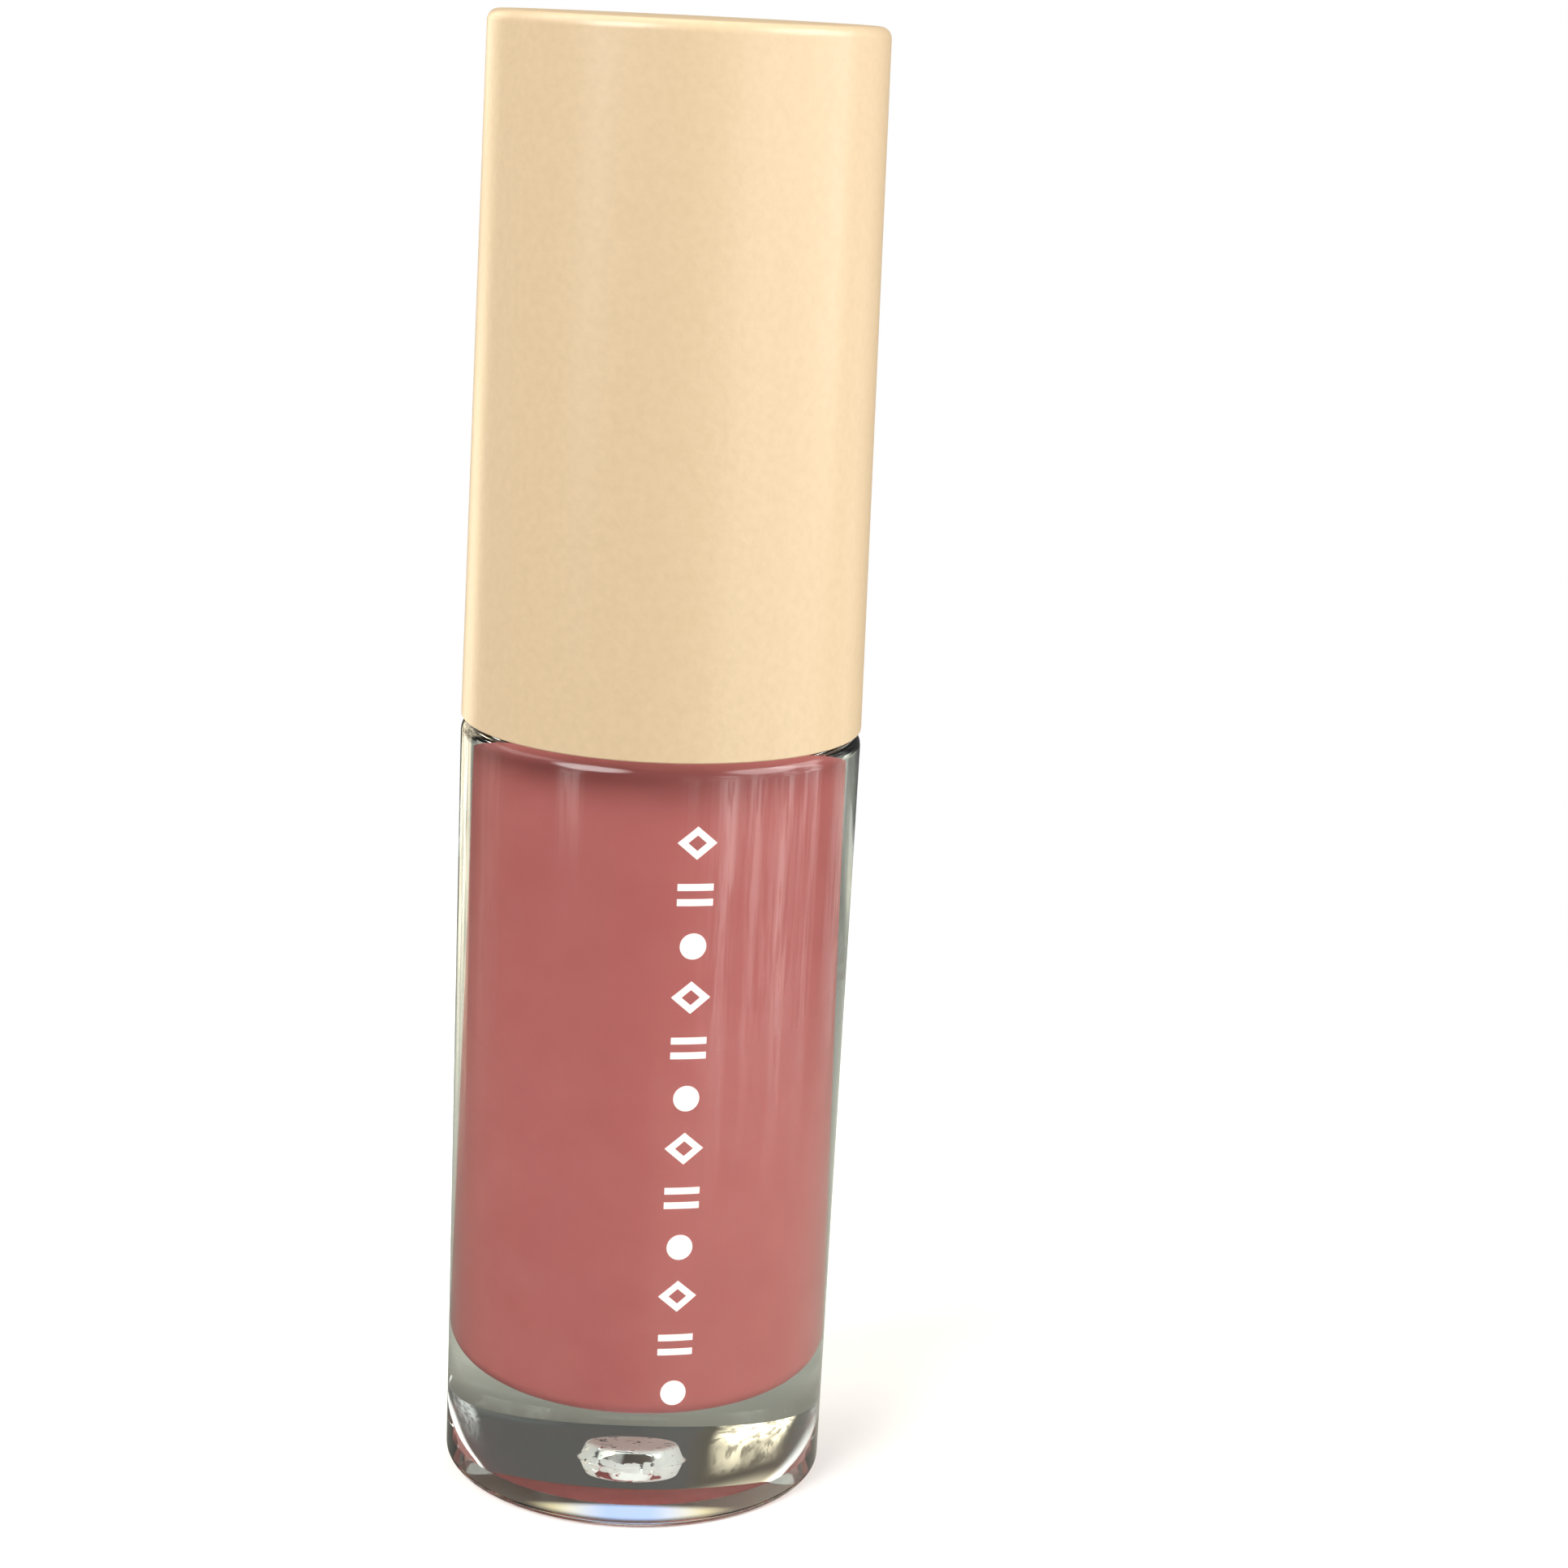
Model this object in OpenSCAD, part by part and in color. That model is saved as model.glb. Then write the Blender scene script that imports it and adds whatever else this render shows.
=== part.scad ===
// Lip gloss tube: a thick clear bottle and a screw-on cap that carries the applicator wand.
// The origin is the centre of the foot, and +Z runs up the tube. Sizes are in millimetres.

/* [Outside] */
// Height of the closed tube
total_h = 58.9; // [56:0.1:62]
// Height of the bottle's shoulder, where the cap begins
seam_z = 31.4; // [30:0.1:33]
// Radius of the bottle and of the cap where they meet
seam_r = 8; // [7.95:0.05:8.2]
// Radius of the bottle at its foot
base_r = 7.8; // [7.7:0.05:7.9]
// Radius of the cap at its top
cap_top_r = 7.72; // [7.65:0.01:7.9]
// Rounding of the bottle's foot
foot_round = 0.3; // [0.2:0.1:0.5]
// Rounding of the bottle's shoulder
shoulder_round = 0.6; // [0.3:0.1:0.7]
// Rounding of the cap's top edge
cap_round = 0.45; // [0.3:0.05:0.6]

/* [Bottle] */
// Radius of the straight bore that holds the gloss
bore_r = 4.95; // [4.9:0.05:5.1]
// Thickness of the solid clear base
base_t = 4.1; // [4:0.1:5.5]
// Rounding where the bore meets its floor
floor_round = 0.6; // [0.3:0.1:1]
// Radius of the hollow under the base, inside its sloped step
hollow_r = 6.4; // [5.6:0.1:6.6]
// Height of the step round the hollow
step_h = 0.65; // [0.4:0.05:0.8]
// Rise of the hollow's dome from its step to its middle
dome_rise = 0.2; // [0.1:0.05:0.4]
// Radius of the moulding dimple at its foot
dimple_r = 1.4; // [1.3:0.05:1.6]
// Radius of the dimple's flat top
dimple_top_r = 1.2; // [0.8:0.05:1.25]
// Height of the dimple's flat top above the foot of the tube
dimple_top = 1.6; // [1.4:0.05:2]
// Height of the neck above the shoulder
neck_h = 9; // [8.5:0.5:10]
// Radius of the neck at the root of its thread
neck_r = 5.9; // [5.85:0.05:5.95]

/* [Thread] */
// Rise of the cap in one turn
lead = 2.5; // [2.4:0.1:2.6]
// Turns of thread that engage
turns = 1.5; // [1.25:0.25:1.5]
// Height of the thread above the neck
thread_depth = 0.42; // [0.38:0.01:0.45]
// Width of the thread at its root
thread_root_w = 1.05; // [0.9:0.05:1.1]
// Width of the thread at its crest
thread_crest_w = 0.45; // [0.4:0.05:0.5]
// Height of the thread's start above the shoulder
thread_start = 2.6; // [2.4:0.1:3]

/* [Cap] */
// Wall of the overcap at its lip
overcap_wall = 1; // [0.95:0.05:1.05]
// Thickness of the overcap's top
overcap_top_t = 1.4; // [1.2:0.1:1.6]
// Gap between the overcap's lip and the shoulder
lip_gap = 0.08; // [0.05:0.01:0.12]
// Thickness of the inner cap's ceiling
ceiling_t = 1.6; // [1.4:0.1:2]
// Height of the inner cap's tower, which grips the wand
tower_h = 6.5; // [5:0.5:7]
// Height of the steel slug that gives the cap its heft
slug_h = 6; // [4:0.5:6.5]

/* [Wand] */
// Radius of the wand's stem
stem_r = 1.7; // [1.6:0.05:1.75]
// Length of the applicator tip below the stem
tip_l = 8.5; // [8:0.5:9]
// Clear height between the tip and the bore's floor
tip_gap = 1.6; // [1.2:0.1:2]
// Radius of the flocked tip, which has to pass the wiper
flock_r = 1.95; // [1.9:0.01:2]
// Lean of the tip's wiping face from upright, in degrees
tip_slant = 38; // [34:1:42]

/* [Hidden] */
$fn = 96;
step_w = 0.32;                                   // width of the sloped step under the base
dome_rings = 9;                                  // straight stretches that draw the dome
// Closure: what stands above the shoulder, from the neck's rim to the cap's ceiling
clear = 0.08;                                    // gap between pieces of different bodies
rim_z = seam_z + neck_h;                         // top of the neck
flange_t = 0.8;                                  // wiper's flange, which lies on the rim
flange_r = neck_r - 0.15;
washer_t = 0.9;
washer_r = flange_r - 0.25;
washer_bore_r = 2.15;
ceiling_z = rim_z + flange_t + washer_t + clear; // underside of the inner cap's ceiling
ceiling_top = ceiling_z + ceiling_t;
lift = lead * turns;                             // how far the cap rises as it unscrews
// Inner cap
skirt_z = seam_z + 0.9;                          // lower end of its skirt
skirt_r = seam_r - overcap_wall;                 // pressed into the overcap
skirt_bore_r = neck_r + thread_depth + 0.1;
cap_thread_drop = (thread_root_w + thread_crest_w) / 2 + 0.15;  // cap's thread lies under the neck's
tower_r = 3.4;
tower_top = ceiling_top + tower_h;
web_t = 0.8;                                     // webs that brace the tower
web_h = 3.5;
webs = 6;
// Overcap and slug
overcap_top = total_h - overcap_top_t;
overcap_top_bore_r = cap_top_r - 0.95;
slug_z = tower_top + 0.1;
slug_r = 5.2;
slug_hole_r = 1.2;
// Wiper
wiper_l = 7.5;
wiper_z = rim_z - wiper_l;
wiper_t = 0.7;
orifice_r = 2.1;
// Wand
bead_r = 2.5;                                    // picks the washer up as the wand is drawn
bead_h = 0.9;
bead_z = rim_z + flange_t - lift - 0.05 - bead_h;
stem_top = tower_top - 0.8;
tip_end = base_t + tip_gap;
stem_end = tip_end + tip_l;
socket_r = 0.95;                                 // stem's socket for the tip's spigot
socket_l = 4;
core_r = flock_r - 0.4;
gloss_top = seam_z + 0.6;
gloss_hole_r = flock_r + clear;
thread_rings = 24;                               // outlines of the swept thread in one turn

// Points of a round from one angle to another
function arc(cx, cy, r, from, to, steps = 8) =
    [for (i = [0 : steps]) let (a = from + (to - from) * i / steps) [cx + r * cos(a), cy + r * sin(a)]];

// Height of the dome under the base, which steepens towards its step
function dome_z(r) = step_h + dome_rise * (1 - pow(r / hollow_r, 4));

// Four corners of the thread's outline at one angle round the neck
function thread_ring(angle, z, root_r, crest_r) =
    let (root = thread_root_w / 2, crest = thread_crest_w / 2)
    [
        for (p = [[root_r, -root], [crest_r, -crest], [crest_r, crest], [root_r, root]])
            [p[0] * cos(angle), p[0] * sin(angle), z + p[1]]
    ];

// Helical ridge from root_r to crest_r, which runs up from z and fades in and out at its ends
module thread(z, root_r, crest_r) {
    rings = ceil(turns * thread_rings);
    points = [
        for (i = [0 : rings])
            let (
                angle = 360 * turns * i / rings,
                grown = min(1, (min(i, rings - i) + 1) / 3)
            )
            each thread_ring(angle, z + lead * angle / 360, root_r, root_r + (crest_r - root_r) * grown)
    ];
    outward = crest_r > root_r;
    sides = [
        for (i = [0 : rings - 1], k = [0 : 3])
            let (a = 4 * i + k, b = 4 * i + (k + 1) % 4)
            outward ? [a, b, b + 4, a + 4] : [a, a + 4, b + 4, b]
    ];
    last = 4 * rings;
    start_face = outward ? [3, 2, 1, 0] : [0, 1, 2, 3];
    end_face = [for (k = start_face) last + 3 - k];
    polyhedron(points = points, faces = concat(sides, [start_face, end_face]), convexity = 6);
}

// Thick clear bottle: straight bore, solid base, rounded shoulder and threaded neck
module bottle() color([0.86, 0.9, 0.88, 0.4]) {
    rotate_extrude() polygon(concat(
        [[0, dimple_top], [dimple_top_r, dimple_top]],
        [
            for (i = [0 : dome_rings])
                let (r = dimple_r + (hollow_r - dimple_r) * pow(i / dome_rings, 0.7)) [r, dome_z(r)]
        ],
        [[hollow_r + step_w, 0]],
        arc(base_r - foot_round, foot_round, foot_round, -90, 0),
        arc(seam_r - shoulder_round, seam_z - shoulder_round, shoulder_round, 0, 90),
        [[neck_r, seam_z], [neck_r, rim_z - 0.3], [neck_r - 0.3, rim_z], [bore_r, rim_z]],
        arc(bore_r - floor_round, base_t + floor_round, floor_round, 0, -90),
        [[0, base_t]]
    ));
    thread(seam_z + thread_start, neck_r - 0.1, neck_r + thread_depth);
}

// The gloss, which fills the bore round the wand to just above the shoulder
module gloss_fill() color([0.72, 0.4, 0.4]) difference() {
    rotate_extrude() polygon(concat(
        [[0, base_t]],
        arc(bore_r - floor_round, base_t + floor_round, floor_round, -90, 0),
        [[bore_r, gloss_top], [0, gloss_top]]
    ));
    translate([0, 0, tip_end - clear]) cylinder(r = gloss_hole_r, h = gloss_top);
}

// Soft plug in the neck, whose narrow lips wipe the wand as it is drawn
module wiper() color([0.95, 0.95, 0.93]) rotate_extrude() polygon([
    [orifice_r, wiper_z], [orifice_r + 0.4, wiper_z], [bore_r - 0.5, wiper_z + 2.2],
    [bore_r, wiper_z + 3], [bore_r, rim_z], [flange_r, rim_z], [flange_r, rim_z + flange_t],
    [bore_r - wiper_t + 0.3, rim_z + flange_t], [bore_r - wiper_t, rim_z + flange_t - 0.3],
    [bore_r - wiper_t, wiper_z + 3.3], [orifice_r + 0.15, wiper_z + 0.7], [orifice_r, wiper_z + 0.45]
]);

// Loose foam washer round the wand, pressed between the wiper's flange and the inner cap
module seal_washer() color([0.97, 0.97, 0.96]) translate([0, 0, rim_z + flange_t]) difference() {
    cylinder(r = washer_r, h = washer_t);
    translate([0, 0, -1]) cylinder(r = washer_bore_r, h = washer_t + 2);
}

// Steel slug, loose to turn in the top of the overcap
module cap_weight() color([0.6, 0.61, 0.63]) rotate_extrude() polygon([
    [slug_hole_r, slug_z], [slug_r - 0.3, slug_z], [slug_r, slug_z + 0.3],
    [slug_r, slug_z + slug_h - 0.3], [slug_r - 0.3, slug_z + slug_h], [slug_hole_r, slug_z + slug_h]
]);

// Satin outer shell of the cap, with a little draft towards its top
module overcap() color([0.93, 0.8, 0.65]) rotate_extrude() polygon(concat(
    [[skirt_r, seam_z + lip_gap], [seam_r - 0.06, seam_z + lip_gap], [seam_r, seam_z + lip_gap + 0.06]],
    arc(cap_top_r - cap_round, total_h - cap_round, cap_round, 0, 90),
    [[0, total_h], [0, overcap_top], [overcap_top_bore_r - 0.3, overcap_top],
        [overcap_top_bore_r, overcap_top - 0.3], [overcap_top_bore_r, ceiling_top + 1], [skirt_r, ceiling_top + 0.4]]
));

// Threaded liner of the cap, with the tower that grips the wand
module inner_cap() color([0.96, 0.95, 0.93]) difference() {
    union() {
        rotate_extrude() polygon([
            [skirt_bore_r + 0.2, skirt_z], [skirt_r, skirt_z], [skirt_r, ceiling_top], [tower_r, ceiling_top],
            [tower_r, tower_top - 0.3], [tower_r - 0.3, tower_top], [0, tower_top], [0, ceiling_z],
            [skirt_bore_r, ceiling_z], [skirt_bore_r, skirt_z + 0.3]
        ]);
        thread(seam_z + thread_start - cap_thread_drop, skirt_bore_r + 0.1, neck_r + 0.15);
        for (i = [0 : webs - 1]) rotate([0, 0, i * 360 / webs])
            translate([tower_r - 0.5, -web_t / 2, ceiling_top - 0.1])
                cube([skirt_r - tower_r - 0.5, web_t, web_h]);
    }
    translate([0, 0, ceiling_z - 1]) cylinder(r = stem_r, h = stem_top - ceiling_z + 1);
}

// Moulded stem of the wand, with its washer bead and the socket for the tip
module wand_stem() color([0.93, 0.92, 0.9]) difference() {
    rotate_extrude() polygon([
        [0, stem_end], [stem_r - 0.15, stem_end], [stem_r, stem_end + 0.15], [stem_r, bead_z - 0.5],
        [bead_r - 0.1, bead_z], [bead_r, bead_z + 0.1], [bead_r, bead_z + bead_h], [stem_r, bead_z + bead_h],
        [stem_r, stem_top - 0.4], [stem_r - 0.4, stem_top], [0, stem_top]
    ]);
    translate([0, 0, stem_end - 1]) cylinder(r = socket_r, h = socket_l + 1);
}

// Space beyond the tip's slanted face, for a face that lies this far under the flock's surface
module beyond_face(under) translate([-flock_r / 2, 0, tip_end]) rotate([0, tip_slant, 0])
    translate([-under, -5, -20]) cube([10, 10, 40]);

// Soft core of the applicator tip, with the spigot that sits in the stem
module tip_core() color([0.85, 0.6, 0.6]) difference() {
    union() {
        translate([0, 0, tip_end + core_r + 0.4]) sphere(r = core_r);
        translate([0, 0, tip_end + core_r + 0.4]) cylinder(r = core_r, h = tip_l - core_r - 0.4);
        translate([0, 0, stem_end - 0.1]) cylinder(r = socket_r, h = socket_l - 0.2);
    }
    beyond_face(0.4);
}

// Flocked coat over the core
module flock_coat() color([0.78, 0.45, 0.46]) difference() {
    union() {
        translate([0, 0, tip_end + flock_r]) sphere(r = flock_r);
        translate([0, 0, tip_end + flock_r]) cylinder(r = flock_r, h = tip_l - flock_r - 0.15);
    }
    beyond_face(0);
    difference() {
        union() {
            translate([0, 0, tip_end + core_r + 0.4]) sphere(r = core_r);
            translate([0, 0, tip_end + core_r + 0.4]) cylinder(r = core_r, h = tip_l);
        }
        beyond_face(0.4);
    }
}

bottle();
gloss_fill();
wiper();
seal_washer();
cap_weight();
overcap();
inner_cap();
wand_stem();
tip_core();
flock_coat();
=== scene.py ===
"""Lip gloss tube: clear thick-walled bottle of rose gloss, satin cap and flocked applicator wand."""
import math

import bmesh
import bpy
from mathutils import Euler, Matrix, Vector


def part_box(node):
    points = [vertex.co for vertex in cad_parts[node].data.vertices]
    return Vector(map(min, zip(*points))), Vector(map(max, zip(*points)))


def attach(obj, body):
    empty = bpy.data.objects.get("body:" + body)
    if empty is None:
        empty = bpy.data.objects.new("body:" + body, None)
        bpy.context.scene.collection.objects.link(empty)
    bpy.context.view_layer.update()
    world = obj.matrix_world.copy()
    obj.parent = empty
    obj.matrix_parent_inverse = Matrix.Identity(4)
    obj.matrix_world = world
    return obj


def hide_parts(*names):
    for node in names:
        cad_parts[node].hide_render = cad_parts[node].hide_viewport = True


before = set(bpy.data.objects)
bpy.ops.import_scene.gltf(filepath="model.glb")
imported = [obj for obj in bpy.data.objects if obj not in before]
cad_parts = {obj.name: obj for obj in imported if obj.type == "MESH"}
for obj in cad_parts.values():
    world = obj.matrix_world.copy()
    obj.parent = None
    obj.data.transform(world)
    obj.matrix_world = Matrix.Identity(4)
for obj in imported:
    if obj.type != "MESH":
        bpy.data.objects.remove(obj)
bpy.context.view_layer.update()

# ---------------------------------------------------------------- sizes
MM = 0.001
FINE_SIDES = 192         # facets round the bottle, the gloss and the cap's shell
SIDES = 160              # facets round a turned piece
ROUND_STEPS = 6          # facets across a rounded corner
SMOOTH = math.radians(32)


def corners(node):
    """Radius, foot and top of a round CAD node, in millimetres."""
    low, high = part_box(node)
    return high.x / MM, low.z / MM, high.z / MM


BOTTLE_R, _, RIM_Z = corners("bottle")
BORE_R, BORE_FLOOR, GLOSS_TOP = corners("gloss_fill")
CAP_R, LIP_Z, TOP_Z = corners("overcap")
FLANGE_R, WIPER_FOOT, WIPER_TOP = corners("wiper")
WASHER_R, WASHER_FOOT, WASHER_TOP = corners("seal_washer")
SKIRT_R, SKIRT_Z, TOWER_TOP = corners("inner_cap")
BEAD_R, STEM_END, STEM_TOP = corners("wand_stem")
FLOCK_R, TIP_END, FLOCK_TOP = corners("flock_coat")

SEAM_Z = LIP_Z - 0.08    # bottle's shoulder, just under the cap's lip
FOOT_R = 7.8             # bottle's radius at its foot
FOOT_ROUND = 0.3
SHOULDER_ROUND = 0.6
RING_R = 6.72            # inside of the ring that the bottle stands on
DOME_R = 6.4             # hollow under the base: its step, and its gentle dome
DOME_FOOT = 0.65
DOME_RISE = 0.2
DIMPLE_R = 1.4           # moulding dimple in the middle of the dome
DIMPLE_TOP_R = 1.2
DIMPLE_TOP = 1.6
CAP_TOP_R = 7.72
CAP_ROOF = 1.4           # thickness of the cap's top
LINER_ROOF = 1.6         # thickness of the liner's ceiling
LINER_GAP = 0.08         # between the washer and that ceiling
NECK_R = 5.9
THREAD_H = 0.42          # how far the neck's ridge stands up
ORIFICE_R = 2.1          # wiper's hole
STEM_R = 1.7
BEAD_H = 0.9             # height of the bead on the stem
PILE = 0.13              # length of the flock's fibres
CORE_INSET = 0.4         # how far the soft core lies under the flock's surface
TIP_SLANT = 38           # lean of the tip's wiping face from upright, in degrees
LEAD = 2.5               # rise of the thread in one turn
TURNS = 1.5
WETTING = 0.015          # how far the gloss stands into the bottle's wall, so that it wets it


# ---------------------------------------------------------------- modelling helpers
def clear_selection():
    """Leaves edit mode and deselects everything."""
    if bpy.context.object and bpy.context.object.mode == "EDIT":
        bpy.ops.object.mode_set(mode="OBJECT")
    bpy.ops.object.select_all(action="DESELECT")


def settle(piece, name, material, angle=SMOOTH):
    """Leaves edit mode, puts the piece's place into its mesh, names it and gives it its finish."""
    if bpy.context.object.mode == "EDIT":
        bpy.ops.object.mode_set(mode="OBJECT")
    bpy.ops.object.transform_apply(location=True, rotation=True, scale=True)
    if angle:
        bpy.ops.object.shade_smooth_by_angle(angle=angle)
    piece.name = name
    piece.data.name = name
    piece.data.materials.clear()
    piece.data.materials.append(material)
    return piece


def rounded(outline, closed):
    """The outline's (radius, height, rounding) points with each rounded corner drawn as an arc."""
    points = []
    count = len(outline)
    for i, (r, z, rounding) in enumerate(outline):
        here = Vector((r, z))
        if not rounding or (not closed and i in (0, count - 1)):
            points.append(here)
            continue
        before = Vector(outline[i - 1][:2]) - here
        after = Vector(outline[(i + 1) % count][:2]) - here
        half = before.angle(after) / 2
        reach = rounding / math.tan(half)
        middle = here + (before.normalized() + after.normalized()).normalized() * rounding / math.sin(half)
        start = here + before.normalized() * reach - middle
        end = here + after.normalized() * reach - middle
        turn = start.angle_signed(end)
        for step in range(ROUND_STEPS + 1):
            points.append(middle + Matrix.Rotation(-turn * step / ROUND_STEPS, 2) @ start)
    return points


def turned(name, outline, material, closed=False, sides=SIDES):
    """A piece turned on the tube's axis: its outline is drawn out point by point and spun."""
    points = rounded(outline, closed)
    clear_selection()
    bpy.ops.mesh.primitive_plane_add(size=MM, enter_editmode=True)
    piece = bpy.context.object
    bpy.ops.mesh.merge(type="CENTER")
    bpy.ops.transform.translate(value=(points[0].x * MM, 0, points[0].y * MM))
    path = points[1:] + points[:1] if closed else points[1:]
    last = points[0]
    for point in path:
        step = (point - last) * MM
        bpy.ops.mesh.extrude_vertices_move(TRANSFORM_OT_translate={"value": (step.x, 0, step.y)})
        last = point
    bpy.ops.mesh.select_all(action="SELECT")
    bpy.ops.mesh.spin(steps=sides, angle=math.tau, center=(0, 0, 0), axis=(0, 0, 1))
    bpy.ops.mesh.select_all(action="SELECT")
    bpy.ops.mesh.remove_doubles(threshold=0.002 * MM)
    bpy.ops.mesh.normals_make_consistent(inside=False)
    return settle(piece, name, material)


def apply_modifier(piece, kind, **settings):
    """Adds one modifier and applies it."""
    clear_selection()
    bpy.context.view_layer.objects.active = piece
    piece.select_set(True)
    modifier = piece.modifiers.new(kind.title(), kind)
    for key, value in settings.items():
        setattr(modifier, key, value)
    bpy.ops.object.modifier_apply(modifier=modifier.name)
    return piece


# ---------------------------------------------------------------- material helpers
EASED = {"interpolation_type": "SMOOTHSTEP"}


def colour(code, alpha=1.0):
    """A linear colour from an sRGB hex value."""
    parts = [int(code[i:i + 2], 16) / 255 for i in (0, 2, 4)]
    return [c / 12.92 if c <= 0.04045 else ((c + 0.055) / 1.055) ** 2.4 for c in parts] + [alpha]


def add(tree, kind, settings=None, links=None, **inputs):
    """Adds a node with its settings, its plain input values and its links."""
    made = tree.nodes.new(kind)
    for key, value in (settings or {}).items():
        setattr(made, key, value)
    for key, value in inputs.items():
        made.inputs[key.replace("_", " ")].default_value = value
    for key, source in (links or {}).items():
        tree.links.new(source, made.inputs[key])
    return made


def material(name, base, **shader_values):
    """A named material with one Principled shader. Returns it with its node tree and its shader."""
    made = bpy.data.materials.new(name)
    made.use_nodes = True
    tree = made.node_tree
    shader = tree.nodes["Principled BSDF"]
    shader.inputs["Base Color"].default_value = colour(base)
    for key, value in shader_values.items():
        shader.inputs[key.replace("_", " ")].default_value = value
    return made, tree, shader


def place(tree):
    """Object coordinates in millimetres."""
    at = add(tree, "ShaderNodeTexCoord")
    return add(tree, "ShaderNodeVectorMath", {"operation": "SCALE"}, {"Vector": at.outputs["Object"]},
               Scale=1 / MM).outputs[0]


def grained(tree, shader, at, first, second, grain, bump, detail=3.0, spread=0.5):
    """Colour that drifts between two tones and a fine bump, from noise of that grain in millimetres."""
    noise = add(tree, "ShaderNodeTexNoise", None, {"Vector": at}, Scale=1 / grain, Detail=detail)
    ramp = add(tree, "ShaderNodeValToRGB", None, {"Fac": noise.outputs["Fac"]})
    ramp.color_ramp.elements[0].position = 0.5 - spread / 2
    ramp.color_ramp.elements[1].position = 0.5 + spread / 2
    ramp.color_ramp.elements[0].color = colour(first)
    ramp.color_ramp.elements[1].color = colour(second)
    tree.links.new(ramp.outputs["Color"], shader.inputs["Base Color"])
    if bump:
        made = add(tree, "ShaderNodeBump", None, {"Height": noise.outputs["Fac"]}, Strength=bump,
                   Distance=grain * MM * 0.3)
        tree.links.new(made.outputs["Normal"], shader.inputs["Normal"])
    return noise


# ---------------------------------------------------------------- materials
FROST_GRAIN = 0.25           # grains of the frosting, in millimetres
FROST_TOP = 2.3
CLEAR_AT = (-0.1, 0, 1.3)    # middle of the patch in the frosting that stayed clear
CLEAR_HALF = (0.95, 0.24)    # and its half width and half height


def clear_acrylic():
    """Clear acrylic, injection moulded thick and polished: glassy, but frosted where the gate was cut.

    The frosting is a broken ring in the dimple under the base.
    """
    made, tree, shader = material("clear_moulded_acrylic", "F3F8F4", IOR=1.49, Transmission_Weight=1.0)
    at = place(tree)
    height = add(tree, "ShaderNodeSeparateXYZ", None, {0: at}).outputs["Z"]
    flat = add(tree, "ShaderNodeVectorMath", {"operation": "MULTIPLY"}, {0: at})
    flat.inputs[1].default_value = (1, 1, 0)
    out = add(tree, "ShaderNodeVectorMath", {"operation": "LENGTH"}, {0: flat.outputs[0]}).outputs["Value"]
    grain = add(tree, "ShaderNodeTexNoise", None, {"Vector": at}, Scale=1 / FROST_GRAIN, Detail=3.0)
    grain = grain.outputs["Fac"]
    patch = add(tree, "ShaderNodeVectorMath", {"operation": "SUBTRACT"}, {0: at})
    patch.inputs[1].default_value = CLEAR_AT
    patch = add(tree, "ShaderNodeVectorMath", {"operation": "MULTIPLY"}, {0: patch.outputs[0]})
    patch.inputs[1].default_value = (1 / CLEAR_HALF[0], 0, 1 / CLEAR_HALF[1])
    patch = add(tree, "ShaderNodeVectorMath", {"operation": "LENGTH"}, {0: patch.outputs[0]})
    patch = add(tree, "ShaderNodeMath", {"operation": "ADD"}, {0: patch.outputs["Value"], 1: grain})
    frost = add(tree, "ShaderNodeMapRange", EASED, {"Value": out},
                From_Min=DIMPLE_R, From_Max=DIMPLE_R + 0.1, To_Min=1, To_Max=0)
    for mask in (
        add(tree, "ShaderNodeMapRange", EASED, {"Value": height},
            From_Min=FROST_TOP - 0.1, From_Max=FROST_TOP + 0.1, To_Min=1, To_Max=0),
        add(tree, "ShaderNodeMapRange", EASED, {"Value": grain}, From_Min=0.34, From_Max=0.42),
        add(tree, "ShaderNodeMapRange", EASED, {"Value": patch.outputs[0]}, From_Min=1.35, From_Max=1.55),
    ):
        frost = add(tree, "ShaderNodeMath", {"operation": "MULTIPLY"},
                    {0: frost.outputs[0], 1: mask.outputs[0]})
    rough = add(tree, "ShaderNodeMapRange", EASED, {"Value": frost.outputs[0]}, To_Max=0.55)
    tree.links.new(rough.outputs["Result"], shader.inputs["Roughness"])
    clear = add(tree, "ShaderNodeMapRange", EASED, {"Value": frost.outputs[0]}, To_Min=1, To_Max=0.25)
    tree.links.new(clear.outputs["Result"], shader.inputs["Transmission Weight"])
    return made


def rose_gloss():
    """Pigmented lip gloss: opaque, smooth and warm rose, its tone drifting over a few millimetres."""
    made, tree, shader = material("rose_lip_gloss", "DB7D7C", Roughness=0.45, IOR=1.46,
                                  Specular_IOR_Level=0.12)
    grained(tree, shader, place(tree), "D97978", "DE8180", grain=2.4, bump=0.0)
    return made


def satin_abs():
    """Beige ABS, injection moulded in a fine spark-eroded mould: satin, with soft broad highlights."""
    made, tree, shader = material("satin_beige_abs", "DDC19D", Roughness=0.3, IOR=1.54)
    grained(tree, shader, place(tree), "DABE9A", "E0C4A1", grain=0.35, bump=0.12)
    return made


def white_ink():
    """Screen-printed white ink: a thin opaque film, a little rough."""
    return material("white_screen_ink", "FAF7F4", Roughness=0.5)[0]


def moulded(name, base, second, roughness, grain=0.8, bump=0.05, **values):
    """A plain moulded plastic with a slight drift of tone."""
    made, tree, shader = material(name, base, Roughness=roughness, **values)
    grained(tree, shader, place(tree), base, second, grain, bump)
    return made


ACRYLIC = clear_acrylic()
GLOSS = rose_gloss()
ABS = satin_abs()
INK = white_ink()
# Natural LDPE, moulded: milky white and waxy, with light soaking a little way in
LDPE = moulded("natural_ldpe", "EEEFEA", "E4E6E0", 0.35, Subsurface_Weight=0.3,
               Subsurface_Scale=0.001)
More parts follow.
